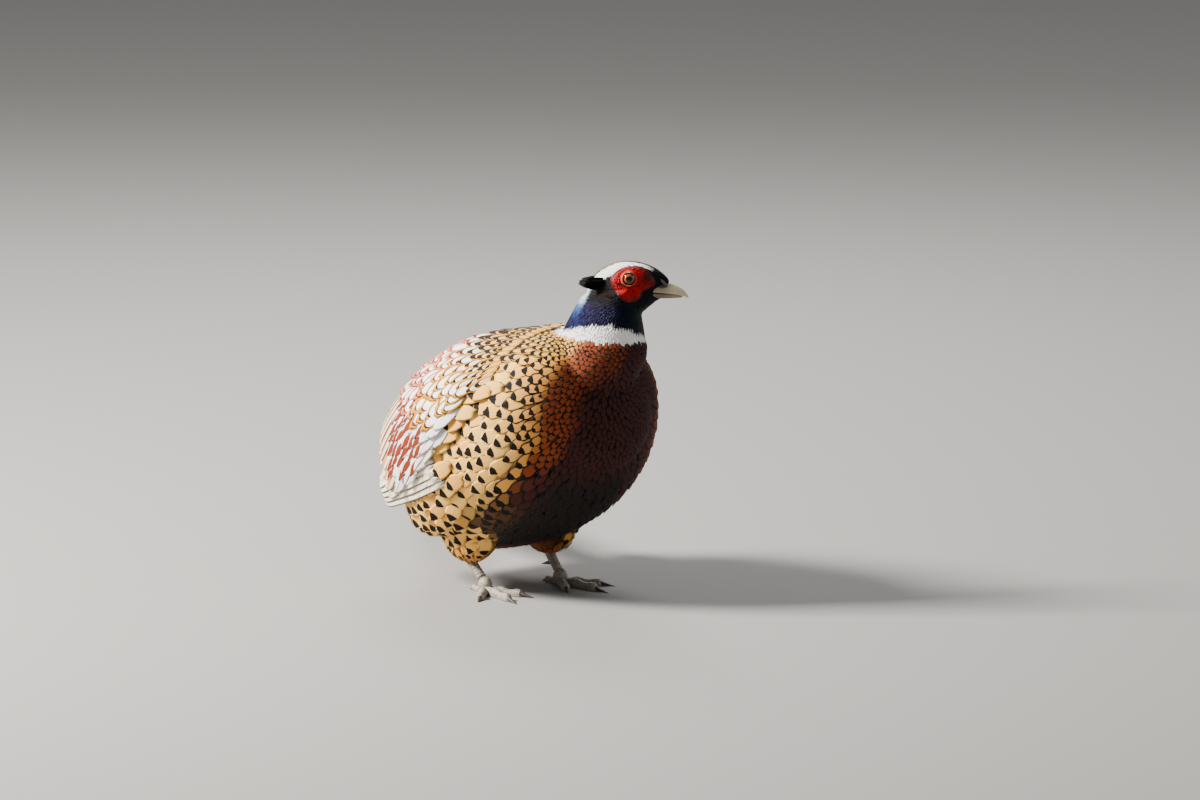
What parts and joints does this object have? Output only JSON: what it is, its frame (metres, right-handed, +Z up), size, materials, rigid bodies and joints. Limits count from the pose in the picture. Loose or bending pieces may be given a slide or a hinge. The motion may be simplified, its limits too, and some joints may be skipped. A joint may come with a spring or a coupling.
{
  "type": "common pheasant, museum model",
  "caption": "Life-size still model of a cock common pheasant, fluffed up in a low crouch on both feet, head turned to its left, long barred tail resting on the floor.",
  "frame": {"origin": "on the floor, below the middle of the whole bird's bounding box", "axes": "+X the way the breast points, +Y to the bird's left, +Z up"},
  "size_m": [0.631, 0.3902, 0.2822],
  "materials": {
    "body_plumage": "dense soft feathers, coppery and golden buff with black tips",
    "head_plumage": "short glossy feathers, black green with a white brow",
    "neck_plumage": "glossy blue and purple feathers with a white ring",
    "bill": "smooth horn, pale ivory",
    "eye": "glossy orange brown iris with a black pupil",
    "wattle_skin": "bare red skin, finely pebbled",
    "ear_tuft": "stiff black feathers",
    "wing_feathers": "buff and lavender feathers with brick red marks",
    "tail_feathers": "olive buff feathers with black bars",
    "thigh_plumage": "soft dark brown feathers",
    "leg_scales": "grey horny scales with dark claws"
  },
  "bodies": {
    "root": {"torso": "body_plumage", "head": "head_plumage", "neck": "neck_plumage", "bill_upper": "bill", "bill_lower": "bill", "tail": "tail_feathers", "eye_right": "eye", "wattle_right": "wattle_skin", "ear_tuft_right": "ear_tuft", "wing_right": "wing_feathers", "thigh_right": "thigh_plumage", "shank_right": "leg_scales", "foot_right": "leg_scales", "eye_left": "eye", "wattle_left": "wattle_skin", "ear_tuft_left": "ear_tuft", "wing_left": "wing_feathers", "thigh_left": "thigh_plumage", "shank_left": "leg_scales", "foot_left": "leg_scales"}
  },
  "joints": []
}
